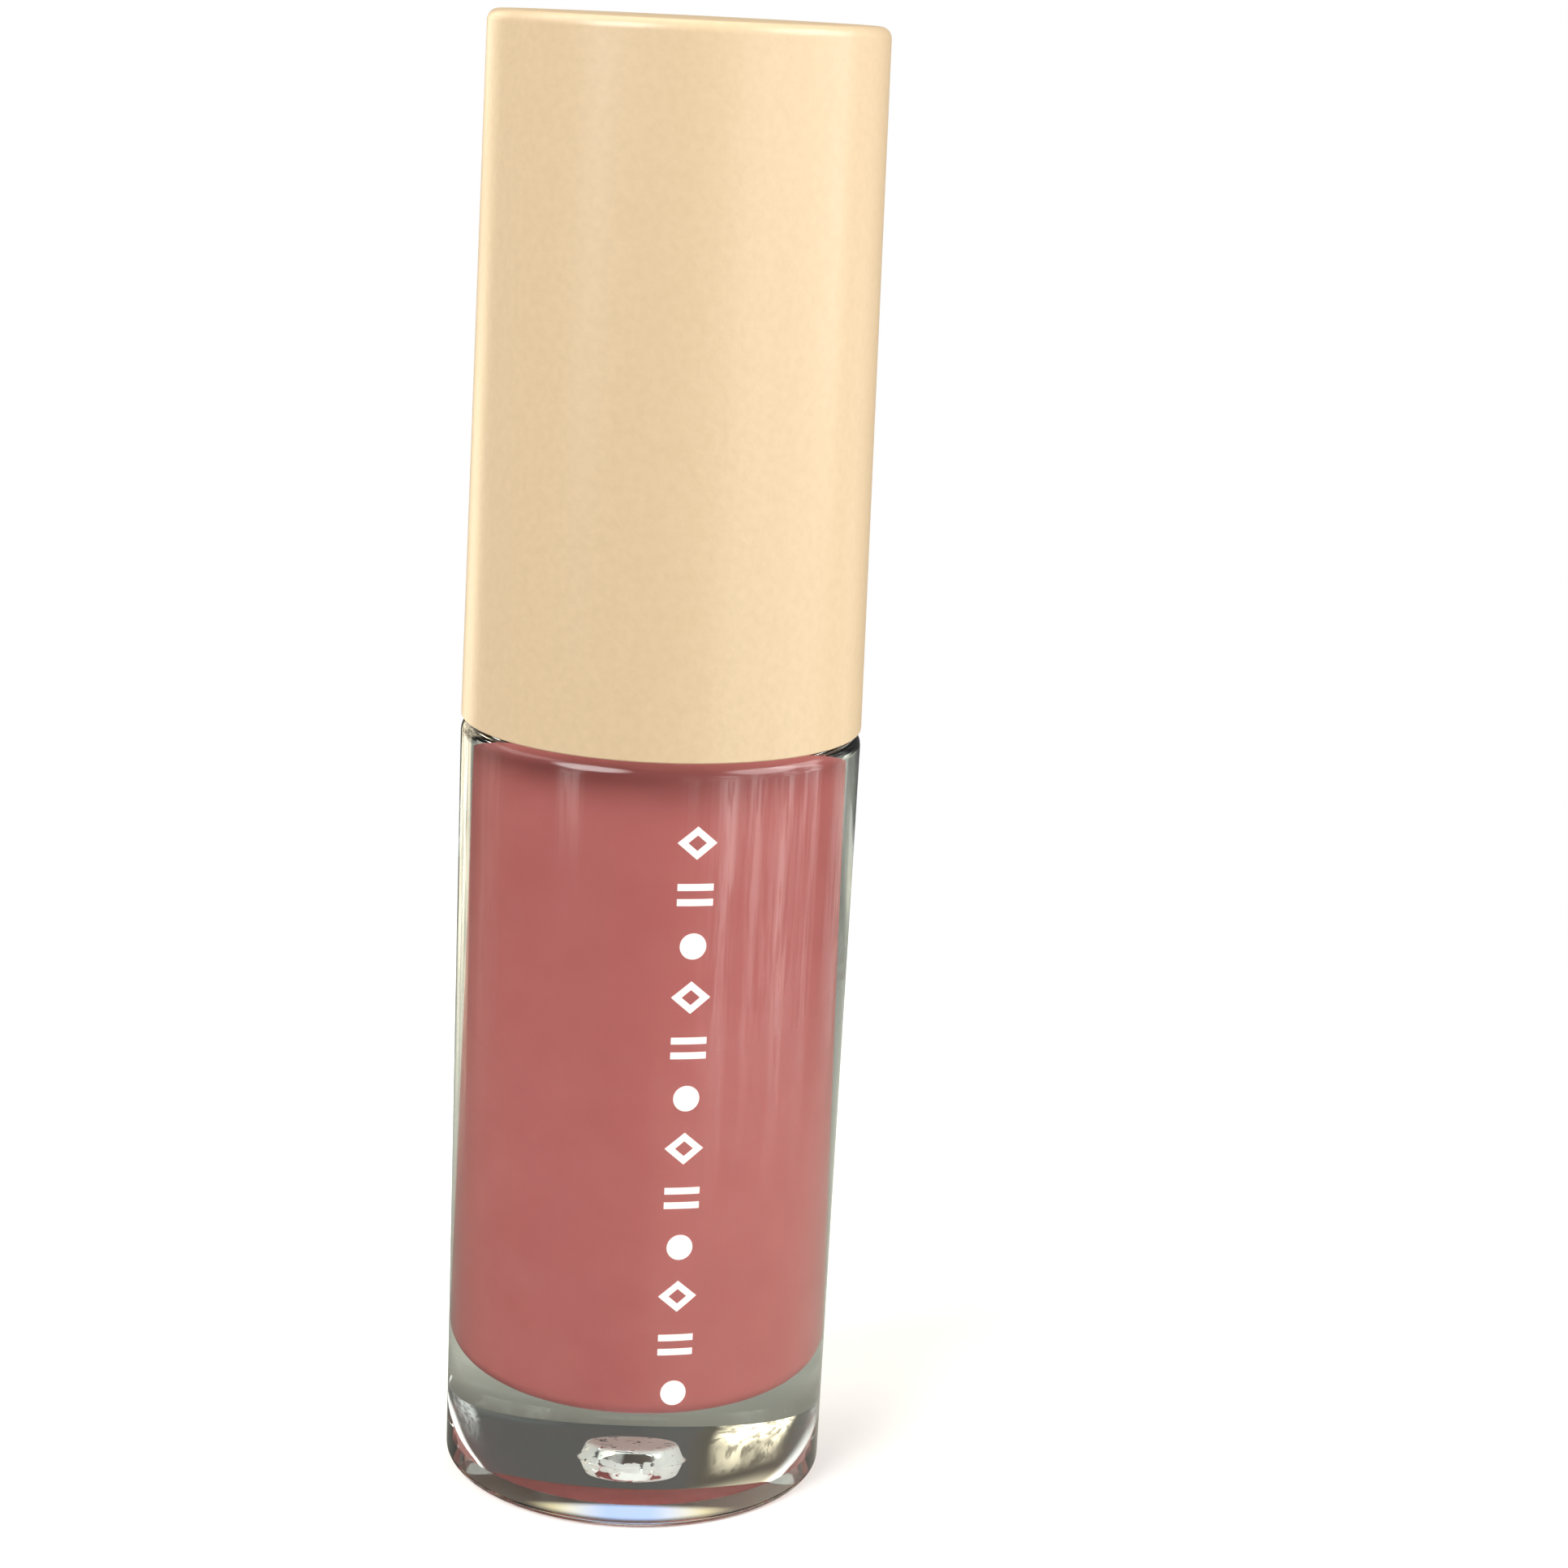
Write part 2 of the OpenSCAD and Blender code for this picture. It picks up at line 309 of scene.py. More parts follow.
# Polyethylene foam, cut from sheet: matt white, pitted with quarter-millimetre cells
PE_FOAM = moulded("white_pe_foam", "F4F3EE", "E2E1DA", 0.8, grain=0.25, bump=0.5)
# Natural polypropylene, moulded: warm white with a soft shine
PP = moulded("natural_polypropylene", "F1EDE6", "E9E4DB", 0.3)
# Natural acetal, moulded: ivory white, smoother and shinier than the liner
ACETAL = moulded("natural_acetal", "EFEAE2", "E7E1D8", 0.25)
# Soft thermoplastic rubber, moulded and stained by the gloss: dull dusty pink
ELASTOMER = moulded("soft_tpe", "C97F7C", "C07673", 0.5)
# Nylon flock, wet with gloss: deep rose and fuzzy, with a damp shine; grains drawn coarser than fibres
FLOCK = moulded("wet_nylon_flock", "B96360", "A9524F", 0.35, grain=0.12, bump=0.6)
# Mild steel, turned from bar: mid grey metal with a blurred shine
STEEL = moulded("turned_steel", "A9ABAE", "97999C", 0.32, grain=0.3, bump=0.1, Metallic=1.0)


# ---------------------------------------------------------------- pieces of the bottle
def thread_ridge(name, foot, root, crest, material_used):
    """A helical ridge: its outline is drawn, then screwed up the neck by 1.5 turns."""
    clear_selection()
    bpy.ops.mesh.primitive_plane_add(size=MM, enter_editmode=True)
    piece = bpy.context.object
    bpy.ops.mesh.merge(type="CENTER")
    outline = [(root, -0.525), (crest, -0.225), (crest, 0.225), (root, 0.525)]
    last = Vector(outline[0])
    bpy.ops.transform.translate(value=(last.x * MM, 0, (foot + last.y) * MM))
    for corner in outline[1:] + outline[:1]:
        step = (Vector(corner) - last) * MM
        bpy.ops.mesh.extrude_vertices_move(TRANSFORM_OT_translate={"value": (step.x, 0, step.y)})
        last = Vector(corner)
    bpy.ops.mesh.select_all(action="SELECT")
    bpy.ops.mesh.remove_doubles(threshold=0.002 * MM)
    bpy.ops.object.mode_set(mode="OBJECT")
    apply_modifier(piece, "SCREW", angle=math.tau * TURNS, screw_offset=LEAD * TURNS * MM, steps=120,
                   render_steps=120, use_merge_vertices=False)
    bpy.ops.object.mode_set(mode="EDIT")
    bpy.ops.mesh.select_all(action="DESELECT")
    bpy.ops.mesh.select_non_manifold()
    bpy.ops.mesh.edge_face_add()
    bpy.ops.mesh.select_all(action="SELECT")
    bpy.ops.mesh.normals_make_consistent(inside=False)
    return settle(piece, name, material_used)


def dome_z(r):
    """Height of the dome under the base, which steepens towards its rim."""
    return DOME_FOOT + DOME_RISE * (1 - (r / DOME_R) ** 4)


def underside():
    """The hollow under the base, from its middle out to the ring that the bottle stands on."""
    steps = 9
    dome = [DIMPLE_R + (DOME_R - DIMPLE_R) * (step / steps) ** 0.7 for step in range(steps + 1)]
    return [(0, DIMPLE_TOP, 0), (DIMPLE_TOP_R, DIMPLE_TOP, 0.2)] + [(r, dome_z(r), 0) for r in dome] + [
        (RING_R, 0, 0)
    ]


def bottle():
    """The bottle in one clear piece, its thread joined on."""
    outline = [
        *underside(), (FOOT_R, 0, FOOT_ROUND),
        (BOTTLE_R, SEAM_Z, SHOULDER_ROUND), (NECK_R, SEAM_Z, 0.1), (NECK_R, RIM_Z, 0.3),
        (BORE_R, RIM_Z, 0.1), (BORE_R, BORE_FLOOR, 0.6), (0, BORE_FLOOR, 0)
    ]
    piece = turned("bottle_shell", outline, ACRYLIC, sides=FINE_SIDES)
    ridge = thread_ridge("thread_ridge", SEAM_Z + 2.6, NECK_R - 0.1, NECK_R + THREAD_H,
                         ACRYLIC)
    apply_modifier(piece, "BOOLEAN", operation="UNION", object=ridge, solver="EXACT")
    bpy.data.objects.remove(ridge)
    clear_selection()
    bpy.context.view_layer.objects.active = piece
    piece.select_set(True)
    bpy.ops.object.shade_smooth_by_angle(angle=SMOOTH)
    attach(piece, "bottle")
    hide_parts("bottle")
    return piece


def gloss():
    """The gloss, wetting the bottle's wall, with the hole that the wand stands in."""
    hole = FLOCK_R + 0.08
    wall = BORE_R + WETTING
    floor = BORE_FLOOR - WETTING
    outline = [
        (0, floor, 0), (wall, floor, 0.6), (wall, GLOSS_TOP + 0.25, 0.02),
        (wall - 0.5, GLOSS_TOP - 0.05, 0.3), (hole, GLOSS_TOP - 0.05, 0.05),
        (hole, TIP_END - 0.08, 0.1), (0, TIP_END - 0.08, 0)
    ]
    piece = turned("gloss", outline, GLOSS, sides=FINE_SIDES)
    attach(piece, "bottle")
    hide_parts("gloss_fill")
    return piece


def wiper():
    """The wiper: a flanged plug that narrows to lips round the wand."""
    bore = BORE_R - 0.7
    outline = [
        (ORIFICE_R, WIPER_FOOT, 0.05), (ORIFICE_R + 0.4, WIPER_FOOT, 0.1),
        (BORE_R - 0.5, WIPER_FOOT + 2.2, 0.2), (BORE_R - 0.02, WIPER_FOOT + 3, 0.2),
        (BORE_R - 0.02, RIM_Z + 0.01, 0), (FLANGE_R, RIM_Z + 0.01, 0.1), (FLANGE_R, WIPER_TOP, 0.2),
        (bore + 0.3, WIPER_TOP, 0.15), (bore, WIPER_TOP - 0.3, 0.2), (bore, WIPER_FOOT + 3.3, 0.3),
        (ORIFICE_R + 0.15, WIPER_FOOT + 0.7, 0.1), (ORIFICE_R, WIPER_FOOT + 0.45, 0.05)
    ]
    piece = turned("wiper_plug", outline, LDPE, closed=True)
    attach(piece, "bottle")
    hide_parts("wiper")
    return piece


# ---------------------------------------------------------------- print
PRINT_TURN = math.radians(11.3)      # print's place round the bottle, from the front towards +X
PRINT_TOP = 28.4
PRINT_PITCH = 2.05
PRINT_COUNT = 12
PRINT_LIFT = 0.004                    # thickness of the ink
BAR_H = 0.28
BAR_SPLIT = 0.3                       # from a mark's middle to each of its two bars
STROKE = 0.27
MARK_W = 1.42
MARK_H = 1.05


def outline_ring(sides, width, height, stroke, at, turn=0.0):
    """A flat ring with that many sides, stood up on the XZ plane in front of the bottle."""
    bpy.ops.mesh.primitive_circle_add(vertices=sides, radius=0.5 * MM, fill_type="NGON",
                                      rotation=(0, 0, turn))
    bpy.ops.object.transform_apply(location=False, rotation=True, scale=False)
    bpy.ops.object.mode_set(mode="EDIT")
    bpy.ops.mesh.select_all(action="SELECT")
    bpy.ops.transform.resize(value=(width, height, 1))
    if stroke:
        bpy.ops.mesh.inset(thickness=stroke * MM)
        bpy.ops.mesh.delete(type="FACE")
    bpy.ops.object.mode_set(mode="OBJECT")
    return stand_up(bpy.context.object, at)


def bar(width, height, at):
    """A flat upright bar in front of the bottle."""
    bpy.ops.mesh.primitive_plane_add(size=MM)
    bpy.ops.transform.resize(value=(width, height, 1))
    return stand_up(bpy.context.object, at)


def stand_up(mark, at):
    """Turns a flat mark upright in front of the bottle, with faces small enough to follow its wall."""
    mark.rotation_euler = (math.pi / 2, 0, 0)
    mark.location = (at[0] * MM, -9 * MM, at[1] * MM)
    bpy.ops.object.transform_apply(location=True, rotation=True, scale=True)
    bpy.ops.object.mode_set(mode="EDIT")
    bpy.ops.mesh.select_all(action="SELECT")
    bpy.ops.mesh.quads_convert_to_tris()
    bpy.ops.mesh.subdivide(number_cuts=4)
    bpy.ops.object.mode_set(mode="OBJECT")
    return mark


def wrap(marks, name, ink, turn):
    """Joins the marks and lays them on the bottle's wall, that far round it."""
    clear_selection()
    for mark in marks:
        mark.select_set(True)
    bpy.context.view_layer.objects.active = marks[0]
    bpy.ops.object.join()
    piece = bpy.context.object
    for vertex in piece.data.vertices:
        wall = FOOT_R + (BOTTLE_R - FOOT_R) * vertex.co.z / (SEAM_Z * MM)
        angle = turn + vertex.co.x / (BOTTLE_R * MM)
        out = (wall + PRINT_LIFT) * MM
        vertex.co.x, vertex.co.y = out * math.sin(angle), -out * math.cos(angle)
    settle(piece, name, ink)
    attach(piece, "bottle")
    return piece


def printed_marks():
    """A column of plain lozenges, double bars and dots, printed down the front of the bottle."""
    marks = []
    for index in range(PRINT_COUNT):
        clear_selection()
        height = PRINT_TOP - index * PRINT_PITCH
        if index % 3 == 0:
            marks.append(outline_ring(4, MARK_W * 1.1, MARK_H * 1.25, STROKE, (0, height)))
        elif index % 3 == 1:
            marks.append(bar(MARK_W, BAR_H, (0, height + BAR_SPLIT)))
            clear_selection()
            marks.append(bar(MARK_W, BAR_H, (0, height - BAR_SPLIT)))
        else:
            marks.append(outline_ring(32, MARK_H, MARK_H, 0, (0, height)))
    return wrap(marks, "printed_marks", INK, PRINT_TURN)


# ---------------------------------------------------------------- pieces of the cap
def overcap():
    """The satin outer shell, a little narrower at its top, with the step that stops the liner."""
    ceiling = TOP_Z - CAP_ROOF
    bore_top = CAP_TOP_R - 0.95
    shelf = WASHER_TOP + LINER_GAP + LINER_ROOF
    outline = [
        (0, ceiling, 0), (bore_top, ceiling, 0.3), (bore_top, shelf + 1, 0.1), (SKIRT_R, shelf + 0.4, 0.1),
        (SKIRT_R, LIP_Z, 0.1), (CAP_R, LIP_Z, 0.07), (CAP_TOP_R, TOP_Z, 0.45), (0, TOP_Z, 0)
    ]
    piece = turned("cap_shell", outline, ABS, sides=FINE_SIDES)
    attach(piece, "cap")
    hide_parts("overcap")
    return piece


def seal_washer():
    """A ring of foam, cut from sheet, a little pinched at its edges."""
    half = (WASHER_FOOT + WASHER_TOP) / 2
    outline = [
        (2.15, WASHER_FOOT, 0.12), (WASHER_R, WASHER_FOOT, 0.12), (WASHER_R - 0.06, half, 0),
        (WASHER_R, WASHER_TOP, 0.12), (2.15, WASHER_TOP, 0.12), (2.2, half, 0)
    ]
    piece = turned("foam_washer", outline, PE_FOAM, closed=True)
    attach(piece, "washer")
    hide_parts("seal_washer")
    return piece


def cap_weight():
    """A steel slug turned from bar, with a drilled hole and a fine groove round its waist."""
    radius, low, high = corners("cap_weight")
    waist = (low + high) / 2
    outline = [
        (1.2, low, 0.1), (radius - 0.3, low, 0), (radius, low + 0.3, 0), (radius, waist - 0.35, 0),
        (radius - 0.2, waist - 0.15, 0), (radius - 0.2, waist + 0.15, 0), (radius, waist + 0.35, 0),
        (radius, high - 0.3, 0), (radius - 0.3, high, 0), (1.2, high, 0.1)
    ]
    piece = turned("steel_slug", outline, STEEL, closed=True)
    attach(piece, "weight")
    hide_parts("cap_weight")
    return piece


def inner_cap():
    """The threaded liner: skirt, ceiling and the tower that grips the wand, braced by six webs."""
    ceiling = WASHER_TOP + LINER_GAP
    roof = ceiling + LINER_ROOF
    bore = NECK_R + 0.52
    outline = [
        (0, STEM_TOP, 0), (STEM_R, STEM_TOP, 0.1), (STEM_R, ceiling, 0.1), (bore, ceiling, 0.3),
        (bore, SKIRT_Z + 0.3, 0), (bore + 0.2, SKIRT_Z, 0),
        (SKIRT_R, SKIRT_Z, 0.1), (SKIRT_R, roof, 0.15), (3.4, roof, 0.25), (3.4, TOWER_TOP, 0.3),
        (0, TOWER_TOP, 0)
    ]
    piece = turned("liner", outline, PP)
    joined = [thread_ridge("liner_thread", SEAM_Z + 1.7, bore + 0.1, NECK_R + 0.15, PP)]
    for index in range(6):
        joined.append(web(index * math.tau / 6, roof))
    for extra in joined:
        apply_modifier(piece, "BOOLEAN", operation="UNION", object=extra, solver="EXACT")
        bpy.data.objects.remove(extra)
    clear_selection()
    bpy.context.view_layer.objects.active = piece
    piece.select_set(True)
    bpy.ops.object.shade_smooth_by_angle(angle=SMOOTH)
    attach(piece, "cap")
    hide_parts("inner_cap")
    return piece


def web(turn, roof):
    """One brace between the tower and the liner's edge, its outer top corner cut off slanting."""
    inner, outer, half, tall = 2.9, SKIRT_R - 1.1, 0.4, 3.5
    clear_selection()
    bpy.ops.mesh.primitive_cube_add(size=MM, enter_editmode=True)
    piece = bpy.context.object
    bpy.ops.transform.resize(value=(outer - inner, 2 * half, tall))
    bpy.ops.transform.translate(value=((outer + inner) / 2 * MM, 0, (roof - 0.1 + tall / 2) * MM))
    mesh = bmesh.from_edit_mesh(piece.data)
    for edge in mesh.edges:
        middle = (edge.verts[0].co + edge.verts[1].co) / 2
        edge.select_set(middle.x > (outer - 0.1) * MM and middle.z > (roof + 3) * MM)
    bmesh.update_edit_mesh(piece.data)
    bpy.ops.mesh.bevel(offset=2.2 * MM, segments=1)
    bpy.ops.object.mode_set(mode="OBJECT")
    piece.rotation_euler = (0, 0, turn)
    return settle(piece, "web", PP, angle=None)


def wand_stem():
    """The wand's stem, with the bead that picks the washer up and a socket for the tip."""
    bead = RIM_Z + 0.8 - LEAD * TURNS - 0.05 - BEAD_H
    socket_top = STEM_END + 4
    outline = [
        (0, socket_top, 0), (0.95, socket_top, 0.1), (0.95, STEM_END, 0.05), (STEM_R, STEM_END, 0.15),
        (STEM_R, bead - 0.5, 0.3), (BEAD_R, bead, 0.15), (BEAD_R, bead + BEAD_H, 0.12),
        (STEM_R, bead + BEAD_H, 0.1), (STEM_R, STEM_TOP, 0.4), (0, STEM_TOP, 0)
    ]
    piece = turned("wand_stem_moulding", outline, ACETAL)
    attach(piece, "cap")
    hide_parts("wand_stem")
    return piece


def slice_tip(piece, under):
    """Cuts a tip's front away slanting, as on a doe-foot, that far under the flock's surface."""
    lean = math.radians(TIP_SLANT)
    away = Vector((math.cos(lean), 0, -math.sin(lean)))
    slice_off(piece, (Vector((-FLOCK_R / 2, 0, TIP_END)) - away * under) * MM, away)


def tip_core():
    """The soft core of the tip, with the spigot that sits in the stem."""
    radius = FLOCK_R - CORE_INSET
    outline = [
        (0, TIP_END + CORE_INSET, 0), (radius, TIP_END + CORE_INSET, radius * 0.97),
        (radius, STEM_END, 0.08),
        (0.93, STEM_END, 0.05), (0.93, STEM_END + 3.7, 0.15), (0, STEM_END + 3.7, 0)
    ]
    piece = turned("tip_core_moulding", outline, ELASTOMER, sides=96)
    slice_tip(piece, CORE_INSET)
    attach(piece, "cap")
    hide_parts("tip_core")
    return piece


def flocked_tip(core):
    """The nylon flock: a coat of short fibres, each a fine spike, which stands up to the full radius."""
    outline = [
        (0, TIP_END + PILE, 0), (FLOCK_R - PILE, TIP_END + PILE, (FLOCK_R - PILE) * 0.97),
        (FLOCK_R - PILE, FLOCK_TOP - PILE, 0.1), (0, FLOCK_TOP - PILE, 0)
    ]
    piece = turned("flocked_tip", outline, FLOCK, sides=96)
    slice_tip(piece, PILE)
    piece.data.remesh_voxel_size = PILE * MM
    bpy.ops.object.voxel_remesh()
    bpy.ops.object.mode_set(mode="EDIT")
    bpy.ops.mesh.select_all(action="SELECT")
    bpy.ops.mesh.vertices_smooth(factor=0.5, repeat=3)
    bpy.ops.transform.vertex_random(offset=0.025 * MM, seed=4)
    bpy.ops.mesh.poke(offset=PILE * 0.8 * MM)
    bpy.ops.object.mode_set(mode="OBJECT")
    apply_modifier(piece, "BOOLEAN", operation="DIFFERENCE", object=core, solver="EXACT")
    settle(piece, "flocked_tip", FLOCK)
    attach(piece, "cap")
    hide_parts("flock_coat")
    return piece


def slice_off(piece, at, outward):
    """Cuts away what lies beyond a plane and closes the cut."""
    clear_selection()
    bpy.context.view_layer.objects.active = piece
    piece.select_set(True)
    bpy.ops.object.mode_set(mode="EDIT")
    bpy.ops.mesh.select_all(action="SELECT")
    bpy.ops.mesh.bisect(plane_co=at, plane_no=outward, use_fill=True, clear_outer=True)
    bpy.ops.mesh.select_all(action="SELECT")
    bpy.ops.mesh.remove_doubles(threshold=0.002 * MM)
    bpy.ops.mesh.normals_make_consistent(inside=False)
    bpy.ops.object.mode_set(mode="OBJECT")
    bpy.ops.object.shade_smooth_by_angle(angle=SMOOTH)
    return piece


bottle()
gloss()
wiper()
printed_marks()
overcap()
seal_washer()
cap_weight()
inner_cap()
wand_stem()
flocked_tip(tip_core())


# ---------------------------------------------------------------- stage
PAINTED_GLOW_AT = (0, -4.4, 0)               # middle of the painted glow on the floor, standing in for the light gathered under the front of the base
PAINTED_GLOW_SIZE = (4.2, 2.2, 1)
PAINTED_GLOW_LEVEL = 1.25
DIMPLE_PAINTED_GLOW_R = 2.2                  # and the painted glow under its dimple, standing in for the light gathered there
DIMPLE_PAINTED_GLOW_LEVEL = 2.6


FLOOR_R = 140
FLOOR_GAP = 0.03                     # floor's depth under the bottle's foot
FADE = (30, 110)                     # floor is whole out to here, and gone from here


def floor():
    """A pale floor that fades away a little way out, with a painted glow on it that stands in for the
    light the clear base gathers.
    """
    clear_selection()
    bpy.ops.mesh.primitive_circle_add(vertices=96, radius=FLOOR_R * MM, fill_type="NGON",
                                      location=(0, 0, -FLOOR_GAP * MM))
    piece = bpy.context.object
    bpy.ops.object.transform_apply(location=True)
    piece.name = "floor"
    finish, tree, shader = material("pale_paper_floor", "F8F7F5", Roughness=0.9)
    at = place(tree)
    out = add(tree, "ShaderNodeVectorMath", {"operation": "LENGTH"}, {0: at}).outputs["Value"]
    edge = add(tree, "ShaderNodeMapRange", EASED, {"Value": out},
               From_Min=FADE[0], From_Max=FADE[1], To_Min=1, To_Max=0)
    tree.links.new(edge.outputs["Result"], shader.inputs["Alpha"])
    # what the clear plastic bends and mirrors is the floor in painted shade and light: greyer than its lit
    # top, darker towards -X and lighter towards +X
    path = add(tree, "ShaderNodeLightPath")
    tone = add(tree, "ShaderNodeMix", {"data_type": "RGBA"}, {"Factor": path.outputs["Is Camera Ray"]})
    side = add(tree, "ShaderNodeSeparateXYZ", None, {0: at}).outputs["X"]
    side = add(tree, "ShaderNodeMapRange", EASED, {"Value": side}, From_Min=-1, From_Max=6)
    # painted shade on the floor: dark grey towards -X, painted light making it paler grey towards +X
    shade = add(tree, "ShaderNodeValToRGB", None, {"Fac": side.outputs["Result"]})
    shade.color_ramp.elements[0].color = colour("777771")
    shade.color_ramp.elements[1].color = colour("B6B6AC")
    tree.links.new(shade.outputs["Color"], tone.inputs["A"])
    tone.inputs["B"].default_value = colour("FDFDFC")
    tree.links.new(tone.outputs["Result"], shader.inputs["Base Color"])
    spot = add(tree, "ShaderNodeVectorMath", {"operation": "SUBTRACT"}, {0: at})
    spot.inputs[1].default_value = PAINTED_GLOW_AT
    spot = add(tree, "ShaderNodeVectorMath", {"operation": "DIVIDE"}, {0: spot.outputs[0]})
    spot.inputs[1].default_value = PAINTED_GLOW_SIZE
    reach = add(tree, "ShaderNodeVectorMath", {"operation": "LENGTH"}, {0: spot.outputs[0]})
    # painted glow: the floor emits light in a patch under the base's front and under its dimple, though it
    # is no lamp
    front = add(tree, "ShaderNodeMapRange", EASED, {"Value": reach.outputs["Value"]},
                From_Min=0.5, From_Max=1, To_Min=PAINTED_GLOW_LEVEL, To_Max=0)
    middle = add(tree, "ShaderNodeMapRange", EASED, {"Value": out}, From_Min=0.5 * DIMPLE_PAINTED_GLOW_R,
                 From_Max=DIMPLE_PAINTED_GLOW_R, To_Min=DIMPLE_PAINTED_GLOW_LEVEL, To_Max=0)
    painted_glow = add(tree, "ShaderNodeMath", {"operation": "MAXIMUM"},
               {0: front.outputs[0], 1: middle.outputs[0]})
    tree.links.new(painted_glow.outputs[0], shader.inputs["Emission Strength"])
    # the painted glow is bluish in its middle and cream at its ends, and white under the dimple
    across = add(tree, "ShaderNodeSeparateXYZ", None, {0: spot.outputs[0]}).outputs["X"]
    across = add(tree, "ShaderNodeMath", {"operation": "ABSOLUTE"}, {0: across}).outputs[0]
    fringe = add(tree, "ShaderNodeValToRGB", None, {"Fac": across})
    fringe.color_ramp.elements[0].position = 0.2
    fringe.color_ramp.elements[0].color = colour("B4CCFF")
    fringe.color_ramp.elements[1].position = 0.7
    fringe.color_ramp.elements[1].color = colour("FFEFBE")
    share = add(tree, "ShaderNodeMapRange", EASED, {"Value": middle.outputs[0]})
    white = add(tree, "ShaderNodeMix", {"data_type": "RGBA"}, {"Factor": share.outputs["Result"]})
    tree.links.new(fringe.outputs["Color"], white.inputs["A"])
    white.inputs["B"].default_value = colour("FFFFFF")
    tree.links.new(white.outputs["Result"], shader.inputs["Emission Color"])
    piece.data.materials.append(finish)


# soft boxes: bearing from the front towards +X, elevation, half width lit in full, half width where it
# has faded, strength
SOFT_BOXES = (
    (-45, 37, 12, 24, 9.4),
    (72, 37, 12, 24, 5.5),
    (100, 36, 10, 20, 3.7),
    (-105, 45, 12, 26, 1.9),
    (-150, 60, 12, 30, 1.1),
)
# upright lights near the floor: bearing, half width lit in full, half width where it has faded, strength
LOW_LIGHTS = (
    (65, 32, 42, 0.9),
    (40, 3, 7, 1.5),
    (57, 2, 5, 0.8),
    (79, 3, 6, 1.2),
    (101, 2, 6, 0.8),
    (127, 5, 12, 0.5),
    (-149, 8, 15, 2.2),
    (-112, 6, 12, 0.3),
)
# upright lights that only the cap mirrors: the same four numbers
CAP_LIGHTS = (
    (-51, 4, 10, 1.9),
    (18, 2, 7, 0.8),
    (97, 4, 9, 2.0),
)
ROOM_LEVEL = 0.105
CREAM_BEARING = -149       # where the room behind is cream
LOW_TOP = (0.3, 0.5)       # height, as the sine of elevation, over which the upright lights end
CAP_FOOT = (-0.2, -0.1)    # and over which those that only the cap mirrors begin


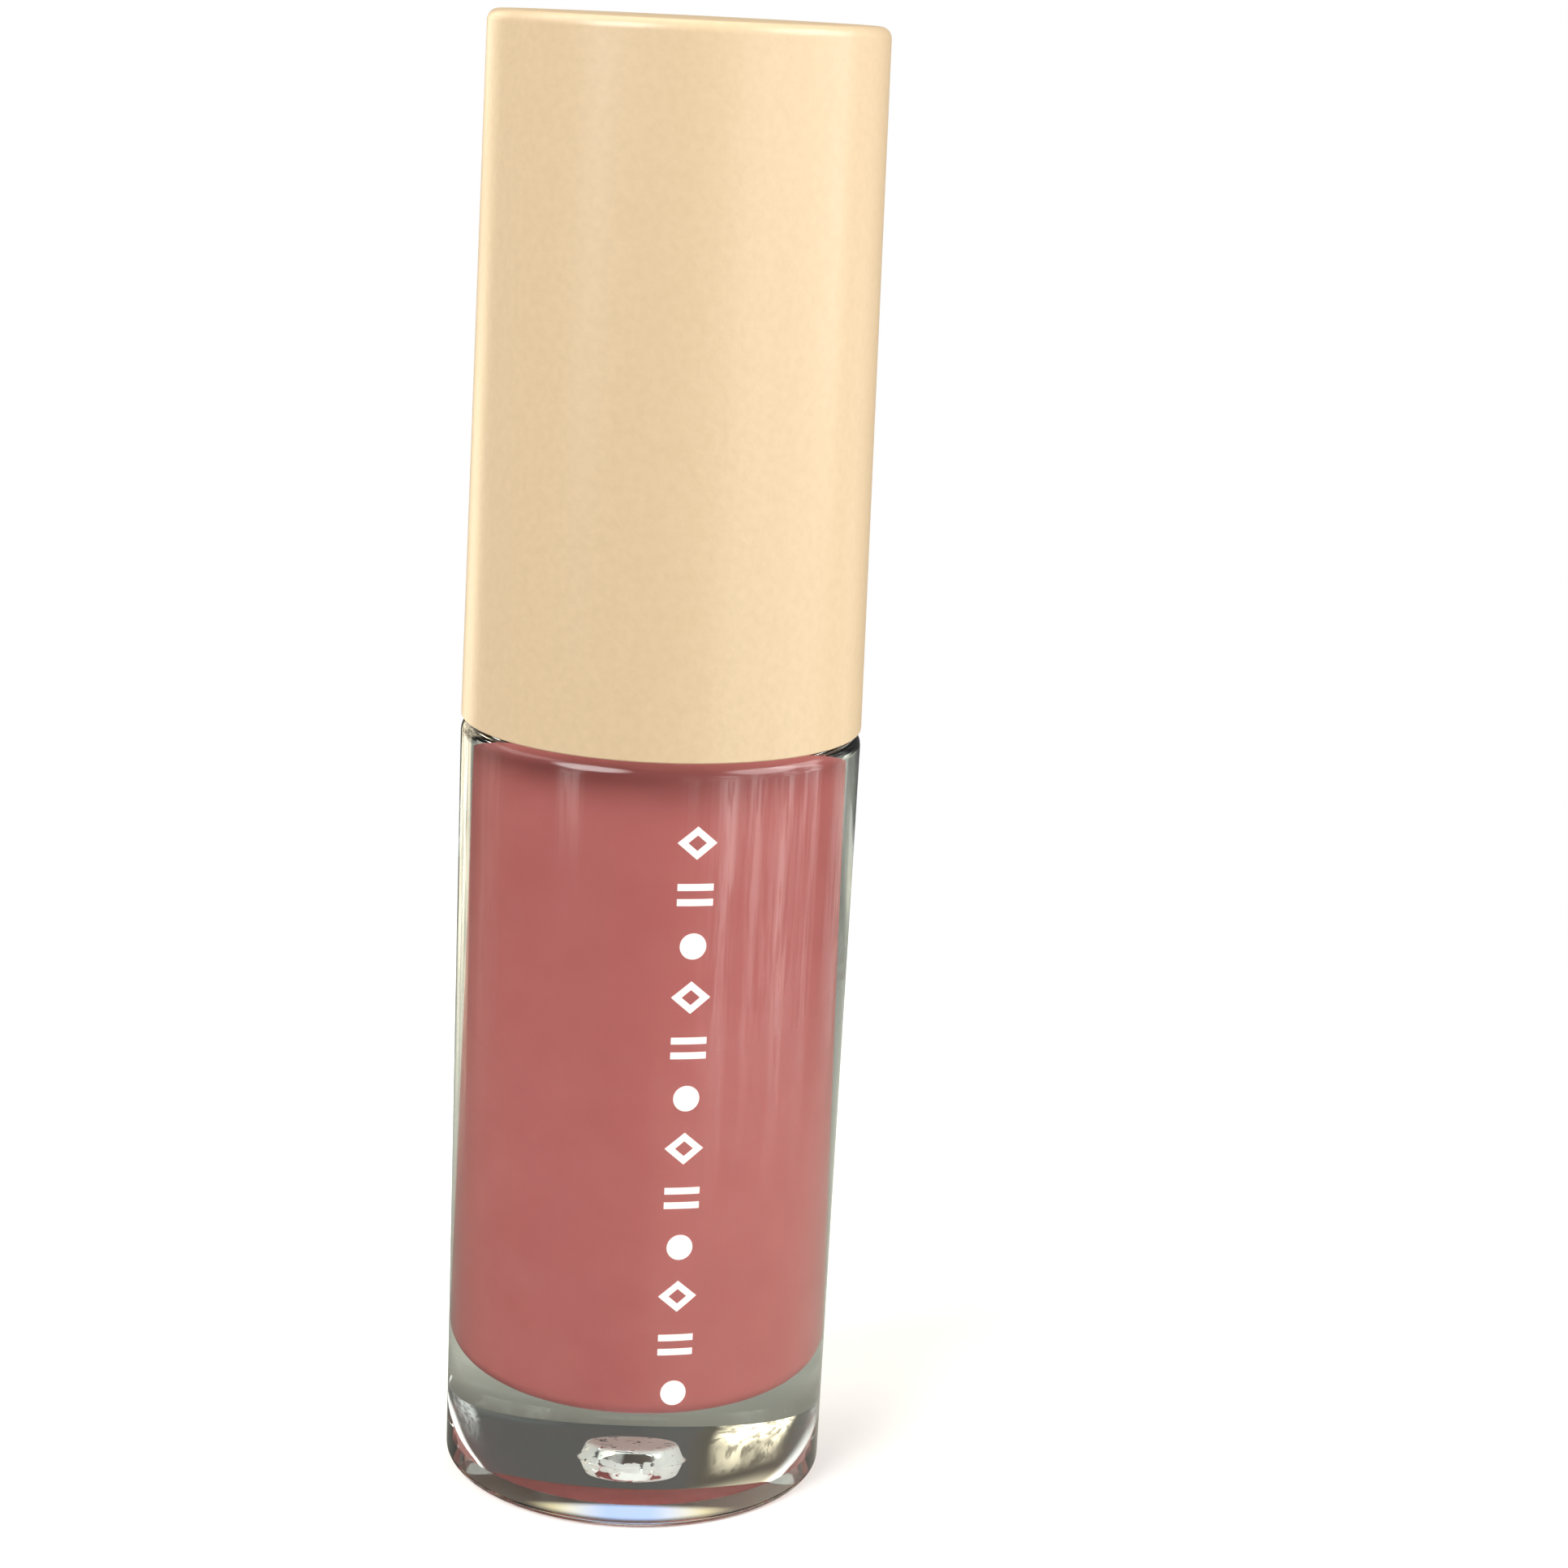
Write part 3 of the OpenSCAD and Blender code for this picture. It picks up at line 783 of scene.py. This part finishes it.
def studio():
    """Two large soft boxes, to the left and the right of the front, and dimmer upright lights low down."""
    world = bpy.data.worlds.new("studio")
    bpy.context.scene.world = world
    world.use_nodes = True
    tree = world.node_tree
    tree.nodes.clear()
    at = add(tree, "ShaderNodeTexCoord").outputs["Generated"]
    flat = add(tree, "ShaderNodeVectorMath", {"operation": "MULTIPLY"}, {0: at})
    flat.inputs[1].default_value = (1, 1, 0)
    level = add(tree, "ShaderNodeVectorMath", {"operation": "NORMALIZE"}, {0: flat.outputs[0]}).outputs[0]
    height = add(tree, "ShaderNodeSeparateXYZ", None, {0: at}).outputs["Z"]

    def lit(view, bearing, elevation, full, faded, strength):
        """Light that is full within some degrees of a direction and gone beyond others."""
        turn, rise = math.radians(bearing), math.radians(elevation)
        facing = add(tree, "ShaderNodeVectorMath", {"operation": "DOT_PRODUCT"}, {0: view})
        facing.inputs[1].default_value = (
            math.sin(turn) * math.cos(rise), -math.cos(turn) * math.cos(rise), math.sin(rise)
        )
        return add(tree, "ShaderNodeMapRange", EASED, {"Value": facing.outputs["Value"]},
                   From_Min=math.cos(math.radians(faded)), From_Max=math.cos(math.radians(full)),
                   To_Max=strength)

    def summed(lights):
        """The lights added up, as one output."""
        total = lights[0].outputs[0]
        for light in lights[1:]:
            total = add(tree, "ShaderNodeMath", {"operation": "ADD"}, {0: total, 1: light.outputs[0]})
            total = total.outputs[0]
        return total

    def dimmed(light, *masks):
        """The light multiplied by each mask."""
        for mask in masks:
            light = add(tree, "ShaderNodeMath", {"operation": "MULTIPLY"}, {0: light, 1: mask.outputs[0]})
            light = light.outputs[0]
        return light

    high = summed([lit(level, bearing, 0, *rest) for bearing, *rest in CAP_LIGHTS])
    high = dimmed(high, add(tree, "ShaderNodeMapRange", EASED, {"Value": height},
                            From_Min=CAP_FOOT[0], From_Max=CAP_FOOT[1]))
    low = summed([lit(level, bearing, 0, *rest) for bearing, *rest in LOW_LIGHTS])
    low = add(tree, "ShaderNodeMath", {"operation": "ADD"}, {0: low, 1: high}).outputs[0]
    uneven = add(tree, "ShaderNodeTexNoise", None, {"Vector": at}, Scale=7.0, Detail=4.0)
    specks = add(tree, "ShaderNodeTexNoise", None, {"Vector": at}, Scale=24.0, Detail=2.0)
    low = dimmed(
        low,
        add(tree, "ShaderNodeMapRange", EASED, {"Value": uneven.outputs["Fac"]},
            From_Min=0.32, From_Max=0.62, To_Min=0.35, To_Max=1.5),
        add(tree, "ShaderNodeMapRange", EASED, {"Value": specks.outputs["Fac"]},
            From_Min=0.36, From_Max=0.52, To_Min=0.35, To_Max=1.1),
        add(tree, "ShaderNodeMapRange", EASED, {"Value": height},
            From_Min=LOW_TOP[0], From_Max=LOW_TOP[1], To_Min=1, To_Max=0),
    )
    boxes = summed([lit(at, *box) for box in SOFT_BOXES])
    total = add(tree, "ShaderNodeMath", {"operation": "ADD"}, {0: low, 1: boxes})
    room = add(tree, "ShaderNodeMath", {"operation": "ADD"}, {0: total.outputs[0]})
    room.inputs[1].default_value = ROOM_LEVEL
    cream = lit(level, CREAM_BEARING, 0, 12, 22, 1)
    warm = add(tree, "ShaderNodeMix", {"data_type": "RGBA"}, {"Factor": cream.outputs["Result"]})
    warm.inputs["A"].default_value = colour("FDFFFC")
    warm.inputs["B"].default_value = colour("FFF1D2")
    light = add(tree, "ShaderNodeBackground", None,
                {"Strength": room.outputs[0], "Color": warm.outputs["Result"]})
    plain = add(tree, "ShaderNodeBackground", None, None, Color=colour("FFFFFF"), Strength=1.0)
    path = add(tree, "ShaderNodeLightPath")
    mix = add(tree, "ShaderNodeMixShader", None,
              {0: path.outputs["Is Camera Ray"], 1: light.outputs[0], 2: plain.outputs[0]})
    add(tree, "ShaderNodeOutputWorld", None, {"Surface": mix.outputs[0]})


def camera():
    """The camera stands a little above the cap's top and leans a few degrees."""
    distance, height, lens = 130.995, 60.224, 76.786
    pitch, roll, pan = math.radians(13.405), math.radians(2.847), math.radians(-2.199)
    data = bpy.data.cameras.new("camera")
    data.sensor_width = 36      # lens and sensor in millimetres
    data.lens = lens
    data.clip_start = 0.005
    data.clip_end = 20
    holder = bpy.data.objects.new("camera", data)
    bpy.context.scene.collection.objects.link(holder)
    look = Euler((math.pi / 2 - pitch, 0, pan)).to_matrix() @ Matrix.Rotation(roll, 3, "Z")
    holder.matrix_world = Matrix.Translation((0, -distance * MM, height * MM)) @ look.to_4x4()
    bpy.context.scene.camera = holder


floor()
studio()
camera()
scene = bpy.context.scene
scene.view_settings.view_transform = "Standard"
scene.cycles.max_bounces = 24
scene.cycles.transmission_bounces = 24
scene.cycles.glossy_bounces = 8

bpy.context.view_layer.update()
